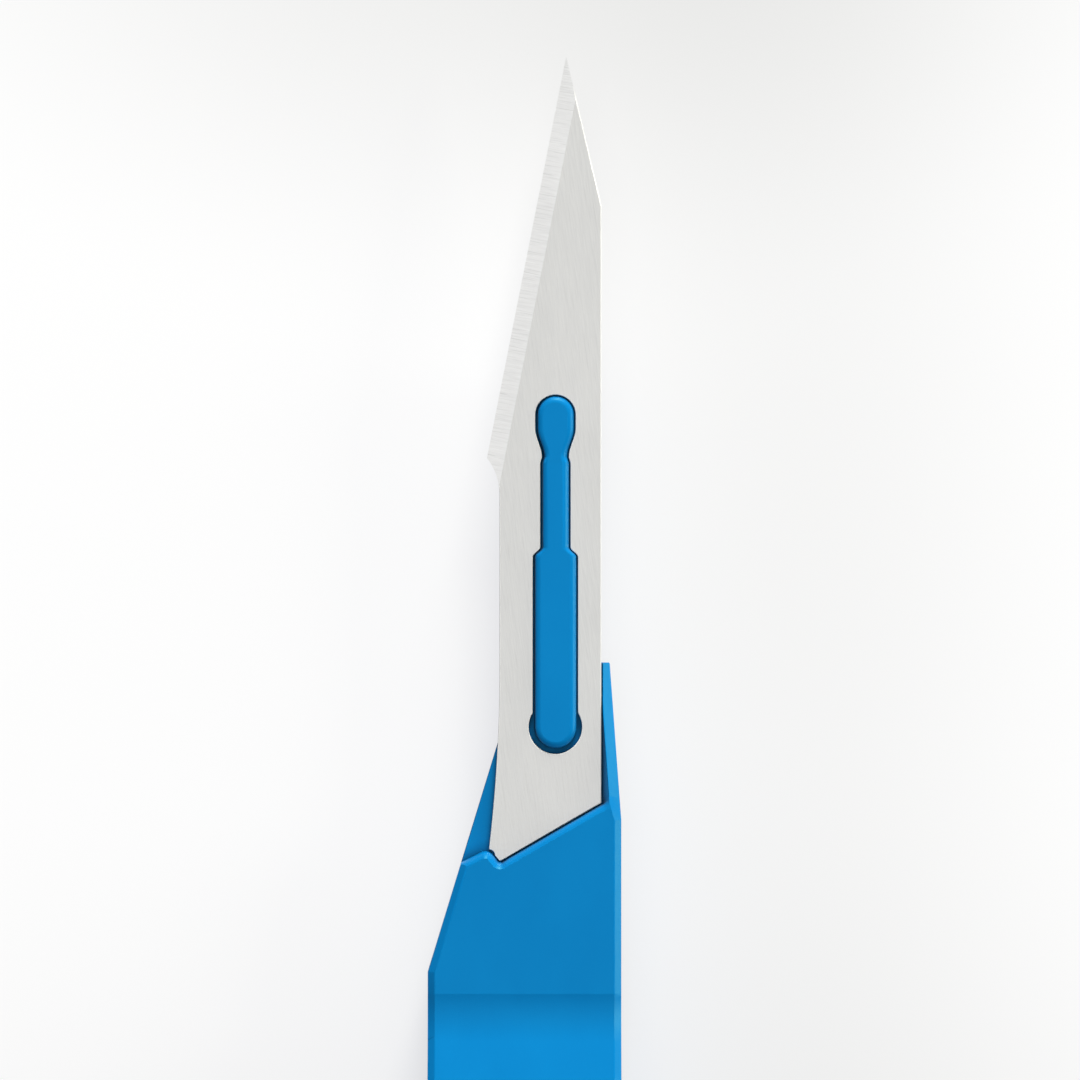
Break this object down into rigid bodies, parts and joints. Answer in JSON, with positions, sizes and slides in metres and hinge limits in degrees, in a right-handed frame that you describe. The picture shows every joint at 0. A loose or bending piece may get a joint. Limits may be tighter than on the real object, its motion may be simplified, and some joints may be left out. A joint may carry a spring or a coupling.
{
  "type": "disposable scalpel",
  "caption": "Disposable scalpel: a pointed stainless blade with a keyhole slot, seated on the boss of a flat moulded plastic handle with a thumb hollow and grip grooves.",
  "frame": {"origin": "middle of the footprint's box, on the surface that the handle's back lies on", "axes": "+Y from the handle's tail to the blade's tip, +Z out of the face that carries the blade, +X towards the blade's spine"},
  "size_m": [0.0116, 0.16, 0.0058],
  "materials": {
    "stainless": "brushed along its length, with a brighter ground bevel",
    "blue_plastic": "satin moulded blue"
  },
  "bodies": {
    "root": {"blade": "stainless", "handle": "blue_plastic"}
  },
  "joints": []
}
